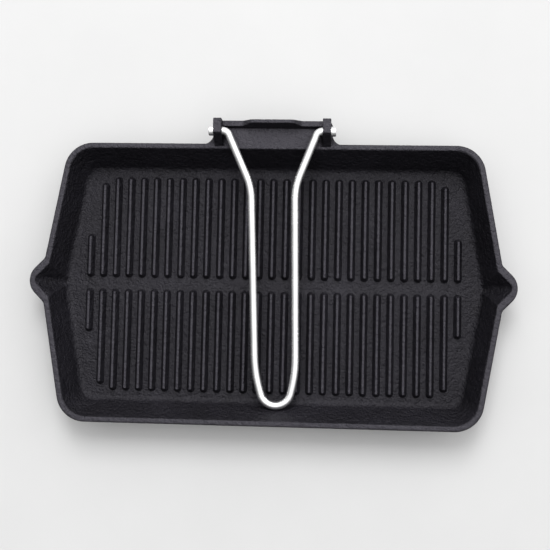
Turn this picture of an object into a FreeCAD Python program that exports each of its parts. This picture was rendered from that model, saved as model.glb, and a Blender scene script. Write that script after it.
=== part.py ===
import FreeCAD, Part
import math
import os
import Sketcher

# Cast-iron grill pan with two pour spouts and a folding wire handle.  Millimetres, +Z up.
# The origin is the middle of the flat underside, +X runs along the long side and +Y points to
# the hinge bracket.  The handle is drawn folded into the pan, which is its rest position.

SIZES = {
    # the pan's wall: four six-sided outlines, two outside and two inside
    "rim_height": 30.0,
    "rim_half_length": 172.8,
    "rim_corner_half_length": 154.0,
    "rim_half_width": 105.2,
    "rim_corner_radius": 22.0,
    "base_half_length": 160.5,
    "base_corner_half_length": 144.2,
    "base_half_width": 90.3,
    "base_corner_radius": 15.0,
    "mouth_half_length": 167.7,
    "mouth_corner_half_length": 149.7,
    "mouth_half_width": 100.3,
    "mouth_corner_radius": 18.0,
    "floor_half_length": 158.7,
    "floor_corner_half_length": 142.7,
    "floor_half_width": 88.5,
    "floor_corner_radius": 12.0,
    "floor_thickness": 6.0,
    "side_middle_radius": 60.0,
    "floor_fillet": 5.0,
    "rim_fillet": 1.5,
    "base_fillet": 3.0,
    # the two pour spouts, a rounded V that leans out as it rises
    "spout_tip": 181.6,
    "spout_nose_radius": 13.5,
    "spout_span": 30.0,
    "spout_depth": 28.0,
    "groove_tip": 176.2,
    "groove_nose_radius": 4.0,
    "groove_depth": 23.5,
    "spout_lean": 0.75,
    "spout_blend": 6.0,
    # the grill ribs
    "rib_pitch": 10.0,
    "rib_width": 6.0,
    "rib_end_radius": 2.7,
    "rib_height": 4.5,
    "rib_draft": 25.0,
    "rib_edge_fillet": 0.8,
    "rib_inner_end": 4.3,
    "rib_outer_end": 82.1,
    "corner_rib_outer_end": 77.5,
    "short_rib_outer_end": 37.6,
    # the hinge bracket behind the back wall
    "shelf_half_width": 44.8,
    "shelf_back": 122.2,
    "shelf_thickness": 8.0,
    "shelf_draft": 2.0,
    "shelf_corner_radius": 4.0,
    "shelf_overlap": 0.4,
    "shelf_blend": 7.5,
    "lug_inner_face": 37.15,
    "lug_thickness": 6.05,
    "lug_top": 43.0,
    "lug_front_top": 110.0,
    "lug_front_foot": 102.2,
    "lug_corner_radius": 1.5,
    "lug_edge_fillet": 0.5,
    "lug_foot_fillet": 3.0,
    "bar_front_foot": 115.7,
    "bar_front_top": 118.3,
    "bar_back": 120.9,
    "bar_top": 38.0,
    "bar_half_length": 15.5,
    "bar_ramp": 6.5,
    "bar_ramp_radius": 4.0,
    "bar_edge_fillet": 0.6,
    "seat_top": 33.2,
    "hinge_back": 112.4,
    "hinge_height": 36.0,
    "hinge_hole_radius": 3.08,
    # the wire handle, in its own plane, measured from the hinge axis
    "wire_radius": 3.0,
    "wire_end": 46.2,
    "hinge_bend_half_width": 33.4,
    "hinge_bend_radius": 5.5,
    "waist_reach": 41.0,
    "waist_half_width": 16.2,
    "waist_bend_radius": 50.0,
    "grip_half_width": 15.1,
    "shoulder_bend_radius": 100.0,
    "flank_angle": 14.0,
    "nose_radius": 11.5,
    "handle_reach": 203.1,
    "handle_lean": 0.0267,
    "rest_tilt": 5.62,
    # the caps pressed on the wire's two ends
    "cap_radius": 3.65,
    "cap_gap": 0.3,
    "cap_end_thickness": 0.8,
    "cap_edge_fillet": 0.6,
}

LONG_RIBS_PER_ROW = 25

doc = FreeCAD.newDocument("grill_pan")


def make_sheet():
    """Put every driving dimension in the sheet, one named cell each."""
    sheet = doc.addObject("Spreadsheet::Sheet", "Sizes")
    for row, (name, value) in enumerate(SIZES.items(), start=1):
        sheet.set(f"A{row}", str(value))
        sheet.setAlias(f"A{row}", name)
    doc.recompute()


def size(name):
    """The expression that reads one cell of the sheet."""
    return f"Sizes.{name}"


def make_body(name):
    body = doc.addObject("PartDesign::Body", name)
    body.Label = name
    return body


def origin_plane(body, role):
    return next(plane for plane in body.Origin.OriginFeatures if plane.Role == role)


def make_sketch(body, name, role, height=None):
    """A sketch on one of the body's origin planes, lifted off it by the height expression."""
    sketch = body.newObject("Sketcher::SketchObject", name)
    sketch.AttachmentSupport = [(origin_plane(body, role), "")]
    sketch.MapMode = "FlatFace"
    if height:
        sketch.setExpression("AttachmentOffset.Base.z", height)
    return sketch


def hold(sketch, kind, *where, expression):
    """Add a dimension that an expression drives."""
    value = float(sketch.evalExpression(expression))
    index = sketch.addConstraint(Sketcher.Constraint(kind, *where, value))
    name = f"{kind}_{index}"
    sketch.renameConstraint(index, name)
    sketch.setExpression(f"Constraints.{name}", expression)


def hold_point(sketch, geometry, position, across, up):
    hold(sketch, "DistanceX", -1, 1, geometry, position, expression=across)
    hold(sketch, "DistanceY", -1, 1, geometry, position, expression=up)


def bend_tangents(before, corner, after, radius):
    """Where a bend of this radius leaves the two straight runs that meet at a corner."""
    back = (before - corner).normalize()
    ahead = (after - corner).normalize()
    half_angle = back.getAngle(ahead) / 2
    setback = radius / math.tan(half_angle)
    return corner + back * setback, corner + ahead * setback


def bend_arc(start, corner, end, radius):
    """The arc from start to end that is tangent to both runs at the corner."""
    middle_direction = ((start + end) * 0.5 - corner).normalize()
    half_angle = (start - corner).getAngle(end - corner) / 2
    centre = corner + middle_direction * (radius / math.sin(half_angle))
    return Part.Arc(start, centre - middle_direction * radius, end)


def draw_chain(sketch, corners, closed=True):
    """Straight runs through the corners, (x, y, bend radius) expressions, with a bend at each."""
    points = []
    radii = []
    for across, up, radius in corners:
        x = float(sketch.evalExpression(across))
        y = float(sketch.evalExpression(up))
        points.append(FreeCAD.Vector(x, y, 0))
        radii.append(float(sketch.evalExpression(radius)) if radius else 0.0)
    count = len(points)
    starts = list(points)
    ends = list(points)
    for i in range(count):
        if radii[i]:
            ends[i], starts[i] = bend_tangents(points[i - 1], points[i], points[(i + 1) % count], radii[i])
    run_count = count if closed else count - 1
    lines = []
    for i in range(run_count):
        lines.append(sketch.addGeometry(Part.LineSegment(starts[i], ends[(i + 1) % count])))
    for i in range(count):
        across, up, radius = corners[i]
        incoming = lines[i - 1] if closed or i > 0 else None
        outgoing = lines[i] if i < run_count else None
        if radius:
            arc_shape = bend_arc(ends[i], points[i], starts[i], radii[i])
            arc = sketch.addGeometry(arc_shape)
            starts_at_incoming = sketch.getPoint(arc, 1).distanceToPoint(ends[i]) < 1e-6
            first, last = (1, 2) if starts_at_incoming else (2, 1)
            sketch.addConstraint(Sketcher.Constraint("Tangent", incoming, 2, arc, first))
            sketch.addConstraint(Sketcher.Constraint("Tangent", arc, last, outgoing, 1))
            hold(sketch, "Radius", arc, expression=radius)
            corner = sketch.addGeometry(Part.Point(points[i]), True)
            sketch.addConstraint(Sketcher.Constraint("PointOnObject", corner, 1, incoming))
            sketch.addConstraint(Sketcher.Constraint("PointOnObject", corner, 1, outgoing))
            hold_point(sketch, corner, 1, across, up)
        elif incoming is None:
            hold_point(sketch, outgoing, 1, across, up)
        else:
            hold_point(sketch, incoming, 2, across, up)
            if outgoing is not None:
                sketch.addConstraint(Sketcher.Constraint("Coincident", incoming, 2, outgoing, 1))


def draw_outline(sketch, prefix):
    """A six-sided pan outline: widest in the middle, with four rounded corners."""
    half_length = size(f"{prefix}_half_length")
    corner_half_length = size(f"{prefix}_corner_half_length")
    half_width = size(f"{prefix}_half_width")
    corner_radius = size(f"{prefix}_corner_radius")
    middle_radius = size("side_middle_radius")
    draw_chain(sketch, [
        (half_length, "0", middle_radius),
        (corner_half_length, half_width, corner_radius),
        (f"-{corner_half_length}", half_width, corner_radius),
        (f"-{half_length}", "0", middle_radius),
        (f"-{corner_half_length}", f"-{half_width}", corner_radius),
        (corner_half_length, f"-{half_width}", corner_radius),
    ])


def add_feature(body, kind, name, **settings):
    feature = body.newObject(f"PartDesign::{kind}", name)
    for key, value in settings.items():
        setattr(feature, key, value)
    body.Tip = feature
    return feature


def loft(body, kind, name, lower_sketch, upper_sketch):
    return add_feature(body, kind, name, Profile=lower_sketch, Sections=[upper_sketch], Ruled=True)


def round_edges(body, name, radius, edges):
    """Fillet the given edges of the body as it stands."""
    tip = body.Tip
    feature = add_feature(body, "Fillet", name, Base=(tip, edges))
    feature.setExpression("Radius", size(radius))
    doc.recompute()
    return feature


def edge_names(body, wanted):
    """Names of the edges of the body, as it stands, that the test accepts."""
    doc.recompute()
    edges = body.Tip.Shape.Edges
    return [f"Edge{i}" for i, edge in enumerate(edges, start=1) if wanted(edge)]


def lies_at_height(item, height):
    return abs(item.BoundBox.ZMin - height) < 1e-4 and abs(item.BoundBox.ZMax - height) < 1e-4


def mirror_in_x(body, name, originals):
    mirror = add_feature(body, "Mirrored", name, Originals=originals)
    mirror.MirrorPlane = (origin_plane(body, "YZ_Plane"), [""])
    return mirror


def make_wall(body):
    """The solid outer shape of the pan, from the base up to the rim."""
    base = make_sketch(body, "base_outline", "XY_Plane")
    draw_outline(base, "base")
    rim = make_sketch(body, "rim_outline", "XY_Plane", size("rim_height"))
    draw_outline(rim, "rim")
    loft(body, "AdditiveLoft", "outer_wall", base, rim)


def make_cavity(body):
    """The hollow of the pan, from the floor up to the rim, with a soft edge round the floor."""
    floor = make_sketch(body, "floor_outline", "XY_Plane", size("floor_thickness"))
    draw_outline(floor, "floor")
    mouth = make_sketch(body, "mouth_outline", "XY_Plane", size("rim_height"))
    draw_outline(mouth, "mouth")
    loft(body, "SubtractiveLoft", "cavity", floor, mouth)
    floor_edges = edge_names(body, lambda edge: lies_at_height(edge, SIZES["floor_thickness"]))
    round_edges(body, "floor_edge", "floor_fillet", floor_edges)


def spout_sketch(body, name, tip, nose_radius):
    """A V with square flanks and a round nose, seen from above, at the height of the rim."""
    sketch = make_sketch(body, name, "XY_Plane", size("rim_height"))
    point = f"{size(tip)} + {size(nose_radius)} * (sqrt(2) - 1)"
    draw_chain(sketch, [
        (point, "0", size(nose_radius)),
        (f"{point} - {size('spout_span')}", size("spout_span"), None),
        (f"{point} - {size('spout_span')}", f"-{size('spout_span')}", None),
    ])
    return sketch


def slant_feature(body, kind, name, sketch, depth):
    """Drive the V down and inwards from the rim, then repeat it at the other end of the pan."""
    feature = add_feature(body, kind, name, Profile=sketch)
    feature.UseCustomVector = True
    feature.AlongSketchNormal = True
    feature.Direction = FreeCAD.Vector(-SIZES["spout_lean"], 0, -1)
    feature.setExpression("Length", size(depth))
    doc.recompute()
    mirror_in_x(body, f"{name}_pair", [feature])


def make_spouts(body):
    """The two spouts, blended into the end walls."""
    outline = spout_sketch(body, "spout_outline", "spout_tip", "spout_nose_radius")
    slant_feature(body, "Pad", "spout", outline, "spout_depth")

    def joins_wall(edge):
        box = edge.BoundBox
        return (min(abs(box.XMin), abs(box.XMax)) > SIZES["base_half_length"]
                and box.ZMax > SIZES["floor_thickness"]
                and box.ZLength > SIZES["floor_thickness"]
                and isinstance(edge.Curve, Part.BSplineCurve))

    round_edges(body, "spout_edge", "spout_blend", edge_names(body, joins_wall))


def make_grooves(body):
    outline = spout_sketch(body, "groove_outline", "groove_tip", "groove_nose_radius")
    slant_feature(body, "Pocket", "groove", outline, "groove_depth")


def shelf_sketch(body, name, height, half_width, wall, back, blend):
    """The shelf seen from above, with a hollow blend that runs into the wall at each side."""
    sketch = make_sketch(body, name, "XY_Plane", height)
    overlap = size("shelf_overlap")
    front = f"{wall} - {overlap}"
    inside = f"{wall} - {size('shelf_blend')}"
    side = f"({half_width} + {blend} + {overlap})"
    draw_chain(sketch, [
        (side, inside, None),
        (side, front, None),
        (half_width, front, blend),
        (half_width, back, size("shelf_corner_radius")),
        (f"-{half_width}", back, size("shelf_corner_radius")),
        (f"-{half_width}", front, blend),
        (f"-{side}", front, None),
        (f"-{side}", inside, None),
    ])
    return sketch


def make_shelf(body):
    """The shelf behind the back wall that carries the lugs, level with the rim."""
    draft = size("shelf_draft")
    depth = size("shelf_thickness")
    wall_slope = f"({size('rim_half_width')} - {size('base_half_width')}) / {size('rim_height')}"
    top = shelf_sketch(body, "shelf_top_outline", size("rim_height"), size("shelf_half_width"),
                       size("rim_half_width"), size("shelf_back"), size("shelf_blend"))
    underside = shelf_sketch(body, "shelf_underside_outline", f"{size('rim_height')} - {depth}",
                             f"({size('shelf_half_width')} - {draft})",
                             f"{size('rim_half_width')} - {wall_slope} * {depth}",
                             f"{size('shelf_back')} - {draft}", f"({size('shelf_blend')} + {draft})")
    loft(body, "AdditiveLoft", "shelf", top, underside)


def rim_loop(body, outer):
    """Edge names of the rim's outer loop, or of its inner one."""
    doc.recompute()
    shape = body.Tip.Shape
    level = [face for face in shape.Faces if lies_at_height(face, SIZES["rim_height"])]
    top = max(level, key=lambda face: face.Area)
    loop = top.OuterWire.Edges
    if not outer:
        loop = [edge for edge in top.Edges if not any(edge.isSame(other) for other in loop)]
    return edge_names(body, lambda edge: any(edge.isSame(other) for other in loop))


def round_rim(body):
    """Round both edges of the rim, the spouts and the shelf, and the edge of the base."""
    round_edges(body, "rim_outer_edge", "rim_fillet", rim_loop(body, True))
    round_edges(body, "rim_inner_edge", "rim_fillet", rim_loop(body, False))
    base_edges = edge_names(body, lambda edge: lies_at_height(edge, 0.0))
    round_edges(body, "base_edge", "base_fillet", base_edges)


def make_rib_group(body, name, across, outer_end, spacing, count):
    """One rib, repeated along X, with the same row on the other side of the cross channel."""
    sketch = make_sketch(body, f"{name}_outline", "XY_Plane", size("floor_thickness"))
    left = f"{across} - {size('rib_width')} / 2"
    right = f"{across} + {size('rib_width')} / 2"
    radius = size("rib_end_radius")
    draw_chain(sketch, [
        (left, size("rib_inner_end"), radius),
        (right, size("rib_inner_end"), radius),
        (right, size(outer_end), radius),
        (left, size(outer_end), radius),
    ])
    rib = add_feature(body, "Pad", name, Profile=sketch)
    rib.setExpression("Length", size("rib_height"))
    rib.setExpression("TaperAngle", f"-{size('rib_draft')}")
    doc.recompute()
    rows = add_feature(body, "MultiTransform", f"{name}_rows", Originals=[rib])
    along = body.newObject("PartDesign::LinearPattern", f"{name}_row")
    along.Direction = (origin_plane(body, "X_Axis"), [""])
    along.Mode = "Spacing"
    along.Occurrences = count
    along.setExpression("Offset", spacing)
    across_channel = body.newObject("PartDesign::Mirrored", f"{name}_other_row")
    across_channel.MirrorPlane = (origin_plane(body, "XZ_Plane"), [""])
    rows.Transformations = [along, across_channel]
    body.Tip = rows
    doc.recompute()


def make_ribs(body):
    pitch = size("rib_pitch")
    long_start = (LONG_RIBS_PER_ROW - 1) // 2
    corner_start = long_start + 1
    short_start = long_start + 2
    make_rib_group(body, "long_rib", f"-{long_start} * {pitch}", "rib_outer_end", pitch, LONG_RIBS_PER_ROW)
    make_rib_group(body, "corner_rib", f"-{corner_start} * {pitch}", "corner_rib_outer_end",
                   f"{2 * corner_start} * {pitch}", 2)
    make_rib_group(body, "short_rib", f"-{short_start} * {pitch}", "short_rib_outer_end",
                   f"{2 * short_start} * {pitch}", 2)
    rib_top = SIZES["floor_thickness"] + SIZES["rib_height"]
    top_edges = edge_names(body, lambda edge: lies_at_height(edge, rib_top))
    round_edges(body, "rib_edge", "rib_edge_fillet", top_edges)


def make_crossbar(body):
    """The upright bar along the back of the shelf, which dips at each end to seat the wire."""
    embedded = f"{size('rim_height')} - {size('shelf_thickness')} / 2"
    end = f"({size('lug_inner_face')} + {size('lug_thickness')} / 2)"
    ramp_foot = f"({size('bar_half_length')} + {size('bar_ramp')})"
    outline = make_sketch(body, "bar_outline", "XZ_Plane", f"-{size('bar_back')}")
    draw_chain(outline, [
        (end, embedded, None),
        (end, size("seat_top"), None),
        (ramp_foot, size("seat_top"), size("bar_ramp_radius")),
        (size("bar_half_length"), size("bar_top"), size("bar_ramp_radius")),
        (f"-{size('bar_half_length')}", size("bar_top"), size("bar_ramp_radius")),
        (f"-{ramp_foot}", size("seat_top"), size("bar_ramp_radius")),
        (f"-{end}", size("seat_top"), None),
        (f"-{end}", embedded, None),
    ])
    bar = add_feature(body, "Pad", "bar", Profile=outline)
    bar.setExpression("Length", f"{size('bar_back')} - {size('bar_front_foot')}")
    slope = make_sketch(body, "bar_front_slope", "YZ_Plane")
    lean = f"({size('bar_front_top')} - {size('bar_front_foot')})"
    clear = f"2 * {size('bar_top')} - {size('rim_height')}"
    draw_chain(slope, [
        (size("bar_front_foot"), size("rim_height"), None),
        (f"{size('bar_front_foot')} + 2 * {lean}", clear, None),
        (f"{size('bar_front_foot')} - {lean}", clear, None),
        (f"{size('bar_front_foot')} - {lean}", size("rim_height"), None),
    ])
    cut = add_feature(body, "Pocket", "bar_front", Profile=slope, SideType="Symmetric")
    cut.setExpression("Length", f"4 * {size('shelf_half_width')}")

    def is_bar_crest(edge):
        box = edge.BoundBox
        return box.ZMin > SIZES["seat_top"] - 0.01 and box.YLength < box.ZLength + 0.01

    round_edges(body, "bar_edge", "bar_edge_fillet", edge_names(body, is_bar_crest))


def make_lugs(body):
    """Two upright lugs with a sloping front, drilled through for the wire."""
    sketch = make_sketch(body, "lug_side", "YZ_Plane", size("lug_inner_face"))
    embedded = f"{size('rim_height')} - {size('shelf_thickness')} / 2"
    radius = size("lug_corner_radius")
    draw_chain(sketch, [
        (size("lug_front_foot"), embedded, None),
        (size("bar_back"), embedded, None),
        (size("bar_back"), size("lug_top"), radius),
        (size("lug_front_top"), size("lug_top"), radius),
        (size("lug_front_foot"), size("rim_height"), None),
    ])
    lug = add_feature(body, "Pad", "lug", Profile=sketch)
    lug.setExpression("Length", size("lug_thickness"))
    doc.recompute()
    mirror_in_x(body, "lug_pair", [lug])

    def is_lug_foot_edge(edge):
        box = edge.BoundBox
        return (lies_at_height(edge, SIZES["rim_height"]) and box.XLength < 0.01
                and abs(abs(box.XMin) - SIZES["lug_inner_face"]) < 0.01 and box.YLength > 8)

    round_edges(body, "lug_foot", "lug_foot_fillet", edge_names(body, is_lug_foot_edge))
    outer_face = SIZES["lug_inner_face"] + SIZES["lug_thickness"]

    def is_lug_top_edge(edge):
        box = edge.BoundBox
        on_side = min(abs(abs(box.XMin) - face) for face in (outer_face, SIZES["lug_inner_face"])) < 0.01
        return on_side and box.XLength < 0.01 and box.ZMax > SIZES["bar_top"] + 1

    round_edges(body, "lug_edge", "lug_edge_fillet", edge_names(body, is_lug_top_edge))
    hole = make_sketch(body, "hinge_hole_outline", "YZ_Plane")
    circle = hole.addGeometry(Part.Circle(
        FreeCAD.Vector(SIZES["hinge_back"], SIZES["hinge_height"], 0),
        FreeCAD.Vector(0, 0, 1), SIZES["hinge_hole_radius"]))
    hold_point(hole, circle, 3, size("hinge_back"), size("hinge_height"))
    hold(hole, "Radius", circle, expression=size("hinge_hole_radius"))
    drill = add_feature(body, "Pocket", "hinge_hole", Profile=hole, SideType="Symmetric")
    drill.setExpression("Length", f"3 * {size('shelf_half_width')}")


def make_pan():
    """The casting: wall, spouts, ribbed floor and hinge bracket in one piece."""
    body = make_body("pan_body")
    make_wall(body)
    make_spouts(body)
    make_shelf(body)
    make_cavity(body)
    make_grooves(body)
    round_rim(body)
    make_crossbar(body)
    make_lugs(body)
    make_ribs(body)
    return body


def rest_placement():
    """Moves a piece from the handle's own plane to the folded handle in the pan."""
    pivot = FreeCAD.Vector(0, SIZES["hinge_back"], SIZES["hinge_height"])
    tilt = FreeCAD.Rotation(FreeCAD.Vector(1, 0, 0), SIZES["rest_tilt"])
    return FreeCAD.Placement(pivot, tilt)


def bind_rest_placement(body):
    body.Placement = rest_placement()
    body.setExpression("Placement.Base.y", size("hinge_back"))
    body.setExpression("Placement.Base.z", size("hinge_height"))
    body.setExpression("Placement.Rotation.Angle", size("rest_tilt"))


def handle_corners():
    """The wire's corners from its left end round the grip to its right end."""
    reach = size("handle_reach")
    nose = size("nose_radius")
    flank = size("flank_angle")
    meeting = f"({reach} - {nose} + {nose} / sin({flank}))"
    shoulder = f"({meeting} - {size('grip_half_width')} / tan({flank}))"
    lean = size("handle_lean")
    waist = size("waist_reach")
    stations = [
        (size("wire_end"), "0", None),
        (size("hinge_bend_half_width"), "0", size("hinge_bend_radius")),
        (size("waist_half_width"), waist, size("waist_bend_radius")),
        (size("grip_half_width"), shoulder, size("shoulder_bend_radius")),
    ]
    left = [(f"-{half} + {lean} * {along}", f"-{along}", bend) for half, along, bend in stations]
    right = [(f"{half} + {lean} * {along}", f"-{along}", bend) for half, along, bend in stations]
    tip = (f"{lean} * {meeting}", f"-{meeting}", nose)
    return left + [tip] + right[::-1]


def make_handle():
    """One length of round wire, bent in a plane, with its two ends in the lugs."""
    body = make_body("handle_wire")
    path = make_sketch(body, "wire_path", "XY_Plane")
    draw_chain(path, handle_corners(), closed=False)
    section = make_sketch(body, "wire_section", "YZ_Plane", f"-{size('wire_end')}")
    circle = section.addGeometry(Part.Circle(
        FreeCAD.Vector(0, 0, 0), FreeCAD.Vector(0, 0, 1), SIZES["wire_radius"]))
    section.addConstraint(Sketcher.Constraint("Coincident", circle, 3, -1, 1))
    hold(section, "Radius", circle, expression=size("wire_radius"))
    doc.recompute()
    add_feature(body, "AdditivePipe", "wire", Profile=section, Spine=path)
    bind_rest_placement(body)
    return body


def make_cap(name, side):
    """A steel cap pressed over one end of the wire, outside its lug; side is -1 or 1."""
    body = make_body(name)
    inner_face = f"({size('lug_inner_face')} + {size('lug_thickness')} + {size('cap_gap')})"
    outer_face = f"({size('wire_end')} + {size('cap_end_thickness')})"
    sign = "-" if side < 0 else ""
    sketch = make_sketch(body, f"{name}_section", "XY_Plane")
    draw_chain(sketch, [
        (f"{sign}{inner_face}", size("wire_radius"), None),
        (f"{sign}{inner_face}", size("cap_radius"), None),
        (f"{sign}{outer_face}", size("cap_radius"), size("cap_edge_fillet")),
        (f"{sign}{outer_face}", "0", None),
        (f"{sign}{size('wire_end')}", "0", None),
        (f"{sign}{size('wire_end')}", size("wire_radius"), None),
    ])
    cap = add_feature(body, "Revolution", f"{name}_turned", Profile=sketch)
    cap.ReferenceAxis = (origin_plane(body, "X_Axis"), [""])
    cap.Angle = 360
    bind_rest_placement(body)
    return body


def check_document():
    """Stop if any object failed to build."""
    failed = [item.Name for item in doc.Objects if {"Invalid", "Error"} & set(item.State)]
    if failed:
        raise RuntimeError(f"failed objects: {failed}")


def write_parts(bodies):
    os.makedirs("parts", exist_ok=True)
    for body in bodies:
        shape = body.Shape
        if shape.isNull() or not shape.isValid() or len(shape.Solids) != 1:
            raise RuntimeError(f"{body.Label} is not one valid solid")
        shape.exportStep(f"parts/{body.Label}.step")
        print(f"{body.Label}: {shape.Volume / 1000:.1f} cm3, {len(shape.Faces)} faces")


make_sheet()
sub_parts = [
    make_pan(),
    make_handle(),
    make_cap("left_end_cap", -1),
    make_cap("right_end_cap", 1),
]
doc.recompute()
check_document()
write_parts(sub_parts)
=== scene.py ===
import math

import bpy
from mathutils import Matrix, Vector

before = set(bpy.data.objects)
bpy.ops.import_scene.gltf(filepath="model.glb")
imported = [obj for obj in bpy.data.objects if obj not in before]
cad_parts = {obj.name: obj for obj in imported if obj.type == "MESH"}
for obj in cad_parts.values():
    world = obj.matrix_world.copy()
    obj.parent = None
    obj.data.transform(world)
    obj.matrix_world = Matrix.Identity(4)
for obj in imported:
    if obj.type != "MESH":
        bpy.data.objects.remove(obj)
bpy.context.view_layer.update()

MM = 0.001

# Sockets of a colour Mix node, whose names repeat for each data type.
MIX_FIRST_COLOUR = 6
MIX_SECOND_COLOUR = 7
MIX_COLOUR_RESULT = 2

# Heights where the painted highlight on the level tops begins and is full, between the pan's floor and
# the tops of its ribs, in metres.
PAINTED_HIGHLIGHT_FROM_HEIGHT = 8.5 * MM
PAINTED_HIGHLIGHT_FULL_HEIGHT = 10.0 * MM

# How far a face's normal points up where the painted highlight begins, and where it is full.
PAINTED_HIGHLIGHT_FROM_SLOPE = 0.75
PAINTED_HIGHLIGHT_FULL_SLOPE = 0.97

FLOOR_SIZE = 40.0
FLOOR_GAP = 0.2 * MM

KEY_PLACE = (0.0, 1.0, 1.45)
KEY_AIM = (0, 0.05, 0)
KEY_WIDTH = 0.7
KEY_HEIGHT = 0.9
KEY_POWER = 14.0

# The direction in which the sky is brightest, and its strength there and near the horizon.
SKY_TOP = (0.25, 0.42, 0.87)
SKY_BRIGHT = 1.6
SKY_DIM = 0.2

CAMERA_PLACE = (0.0469, -0.0348, 0.6989)
CAMERA_AIM = (0.00326, 0.00741, 0.020)
CAMERA_ROLL_DEGREES = 1.25
CAMERA_LENS = 59.78
CAMERA_SENSOR = 36.0


def add_node(tree, kind, **values):
    """A shader node with some of its inputs or properties set by name."""
    node = tree.nodes.new(kind)
    for key, value in values.items():
        if key in node.inputs:
            node.inputs[key].default_value = value
        else:
            setattr(node, key, value)
    return node


def new_material(name):
    """A material, its node tree and its shader."""
    material = bpy.data.materials.new(name)
    material.use_nodes = True
    tree = material.node_tree
    return material, tree, tree.nodes["Principled BSDF"]


def noise(tree, scale, detail=4.0, roughness=0.6):
    """Noise in object space; scale is features per metre."""
    place = tree.nodes.get("place") or add_node(tree, "ShaderNodeTexCoord", name="place")
    texture = add_node(tree, "ShaderNodeTexNoise", Scale=scale, Detail=detail, Roughness=roughness)
    tree.links.new(place.outputs["Object"], texture.inputs["Vector"])
    return texture.outputs["Fac"]


def ramp(tree, source, stops):
    """A colour ramp through (position, colour) stops."""
    node = add_node(tree, "ShaderNodeValToRGB")
    elements = node.color_ramp.elements
    while len(elements) < len(stops):
        elements.new(0.5)
    for element, (position, colour) in zip(elements, stops):
        element.position = position
        element.color = (*colour, 1.0)
    tree.links.new(source, node.inputs["Fac"])
    return node.outputs["Color"]


def remap(tree, source, low, high, to_low, to_high):
    """Stretches low..high to to_low..to_high, and holds the ends."""
    node = add_node(tree, "ShaderNodeMapRange")
    node.inputs["From Min"].default_value = low
    node.inputs["From Max"].default_value = high
    node.inputs["To Min"].default_value = to_low
    node.inputs["To Max"].default_value = to_high
    tree.links.new(source, node.inputs["Value"])
    return node.outputs["Result"]


def add_bump(tree, height, distance, strength, below=None):
    """A bump layer; distance is the relief's depth in metres."""
    node = add_node(tree, "ShaderNodeBump", Distance=distance, Strength=strength)
    tree.links.new(height, node.inputs["Height"])
    if below is not None:
        tree.links.new(below, node.inputs["Normal"])
    return node.outputs["Normal"]


def raised_tops(tree):
    """1 on the level tops of the ribs, rim and bracket, 0 on the floor and on every slope: the mask of
    the painted highlight.
    """
    place = tree.nodes["place"]
    parts = []
    for output, low, high in (("Object", PAINTED_HIGHLIGHT_FROM_HEIGHT, PAINTED_HIGHLIGHT_FULL_HEIGHT),
                              ("Normal", PAINTED_HIGHLIGHT_FROM_SLOPE, PAINTED_HIGHLIGHT_FULL_SLOPE)):
        split = add_node(tree, "ShaderNodeSeparateXYZ")
        tree.links.new(place.outputs[output], split.inputs["Vector"])
        parts.append(remap(tree, split.outputs["Z"], low, high, 0.0, 1.0))
    both = add_node(tree, "ShaderNodeMath", operation="MULTIPLY")
    tree.links.new(parts[0], both.inputs[0])
    tree.links.new(parts[1], both.inputs[1])
    return both.outputs["Value"]


def cast_iron():
    """Black seasoned cast iron: sand grain, patchy oil sheen, and a painted highlight that makes the
    level tops paler.
    """
    material, tree, shader = new_material("seasoned_cast_iron")
    grain = noise(tree, 620.0, detail=4.0)
    pits = noise(tree, 260.0, detail=5.0)
    patches = noise(tree, 30.0, detail=4.0)
    colour = ramp(tree, patches, [
        (0.30, (0.0080, 0.0074, 0.0100)),
        (0.55, (0.0120, 0.0112, 0.0150)),
        (0.75, (0.0170, 0.0160, 0.0210)),
    ])
    # Painted highlight: the level tops of the ribs, rim and bracket get a paler colour in place of the
    # light they catch.
    painted_highlight = add_node(tree, "ShaderNodeMix", data_type="RGBA")
    tree.links.new(raised_tops(tree), painted_highlight.inputs["Factor"])
    tree.links.new(colour, painted_highlight.inputs[MIX_FIRST_COLOUR])
    painted_highlight.inputs[MIX_SECOND_COLOUR].default_value = (0.040, 0.038, 0.046, 1.0)
    tree.links.new(painted_highlight.outputs[MIX_COLOUR_RESULT], shader.inputs["Base Color"])
    roughness = remap(tree, pits, 0.3, 0.7, 0.36, 0.50)
    tree.links.new(roughness, shader.inputs["Roughness"])
    shader.inputs["Specular IOR Level"].default_value = 0.45
    shader.inputs["Specular Tint"].default_value = (0.96, 0.94, 1.0, 1.0)
    relief = add_bump(tree, pits, 1.6 * MM, 1.0)
    relief = add_bump(tree, grain, 1.0 * MM, 1.0, below=relief)
    tree.links.new(relief, shader.inputs["Normal"])
    return material


def bright_steel(name, roughness_low, roughness_high):
    """Bright steel with uneven gloss, faint finger marks and a fine surface grain."""
    material, tree, shader = new_material(name)
    shader.inputs["Metallic"].default_value = 0.9
    marks = noise(tree, 90.0, detail=5.0)
    fine = noise(tree, 2500.0, detail=2.0)
    colour = ramp(tree, marks, [
        (0.35, (0.78, 0.78, 0.79)),
        (0.65, (0.88, 0.88, 0.88)),
    ])
    tree.links.new(colour, shader.inputs["Base Color"])
    roughness = remap(tree, marks, 0.3, 0.7, roughness_low, roughness_high)
    tree.links.new(roughness, shader.inputs["Roughness"])
    tree.links.new(add_bump(tree, fine, 0.01 * MM, 0.5), shader.inputs["Normal"])
    return material


def dress(node, material):
    """Give a CAD node its material."""
    mesh_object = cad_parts[node]
    mesh_object.data.materials.clear()
    mesh_object.data.materials.append(material)


def make_floor():
    """A pale paper floor just under the pan."""
    bpy.ops.mesh.primitive_plane_add(size=FLOOR_SIZE, location=(0, 0, -FLOOR_GAP))
    floor = bpy.context.object
    floor.name = "studio_floor"
    material, tree, shader = new_material("pale_paper")
    tone = ramp(tree, noise(tree, 8.0), [(0.3, (0.54, 0.54, 0.54)), (0.7, (0.56, 0.56, 0.56))])
    tree.links.new(tone, shader.inputs["Base Color"])
    shader.inputs["Roughness"].default_value = 0.9
    floor.data.materials.append(material)


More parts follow.
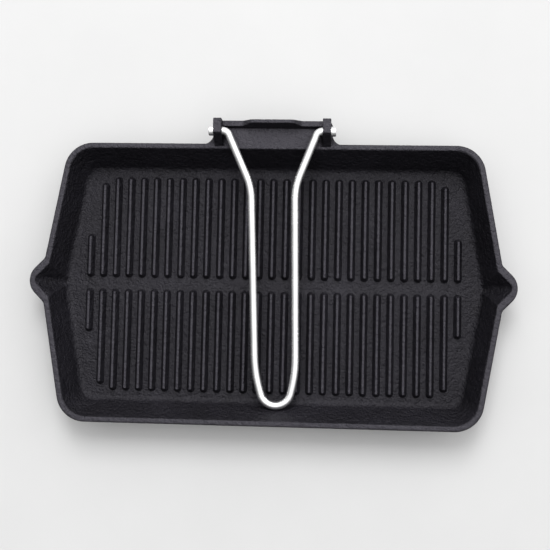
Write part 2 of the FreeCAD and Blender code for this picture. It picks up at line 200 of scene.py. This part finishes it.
def add_light(name, place, aim, width, height, power):
    """A rectangular soft light at one place, turned to face another."""
    data = bpy.data.lights.new(name, "AREA")
    data.shape = "RECTANGLE"
    data.size = width
    data.size_y = height
    data.energy = power
    light = bpy.data.objects.new(name, data)
    bpy.context.collection.objects.link(light)
    light.location = place
    light.rotation_euler = (Vector(aim) - Vector(place)).to_track_quat("-Z", "Y").to_euler()


def make_lights():
    """A soft key from behind the pan, under a sky that is bright overhead and dims to the front left."""
    add_light("key", KEY_PLACE, KEY_AIM, KEY_WIDTH, KEY_HEIGHT, KEY_POWER)
    world = bpy.data.worlds.new("studio")
    bpy.context.scene.world = world
    world.use_nodes = True
    tree = world.node_tree
    background = tree.nodes["Background"]
    direction = add_node(tree, "ShaderNodeTexCoord")
    height = add_node(tree, "ShaderNodeVectorMath", operation="DOT_PRODUCT")
    height.inputs[1].default_value = SKY_TOP
    tree.links.new(direction.outputs["Generated"], height.inputs[0])
    glow = remap(tree, height.outputs["Value"], 0.1, 1.0, SKY_DIM, SKY_BRIGHT)
    tree.links.new(glow, background.inputs["Strength"])
    background.inputs["Color"].default_value = (1.0, 1.0, 1.0, 1.0)
    bpy.context.scene.view_settings.view_transform = "Standard"
    bpy.context.scene.view_settings.look = "Medium High Contrast"


def make_camera():
    """Almost straight above the pan, a little to the right and in front of its middle."""
    place = Vector(CAMERA_PLACE)
    aim = Vector(CAMERA_AIM)
    roll = math.radians(CAMERA_ROLL_DEGREES)
    data = bpy.data.cameras.new("camera")
    data.sensor_width = CAMERA_SENSOR
    data.lens = CAMERA_LENS
    camera = bpy.data.objects.new("camera", data)
    bpy.context.collection.objects.link(camera)
    back = (place - aim).normalized()
    right = Vector((0, 1, 0)).cross(back).normalized()
    upward = back.cross(right)
    turn = Matrix((right, upward, back)).transposed().to_4x4()
    camera.matrix_world = Matrix.Translation(place) @ turn @ Matrix.Rotation(roll, 4, "Z")
    bpy.context.scene.camera = camera


dress("pan_body", cast_iron())
dress("handle_wire", bright_steel("bright_steel_wire", 0.22, 0.30))
cap_steel = bright_steel("bright_steel_cap", 0.16, 0.28)
dress("left_end_cap", cap_steel)
dress("right_end_cap", cap_steel)
make_floor()
make_lights()
make_camera()
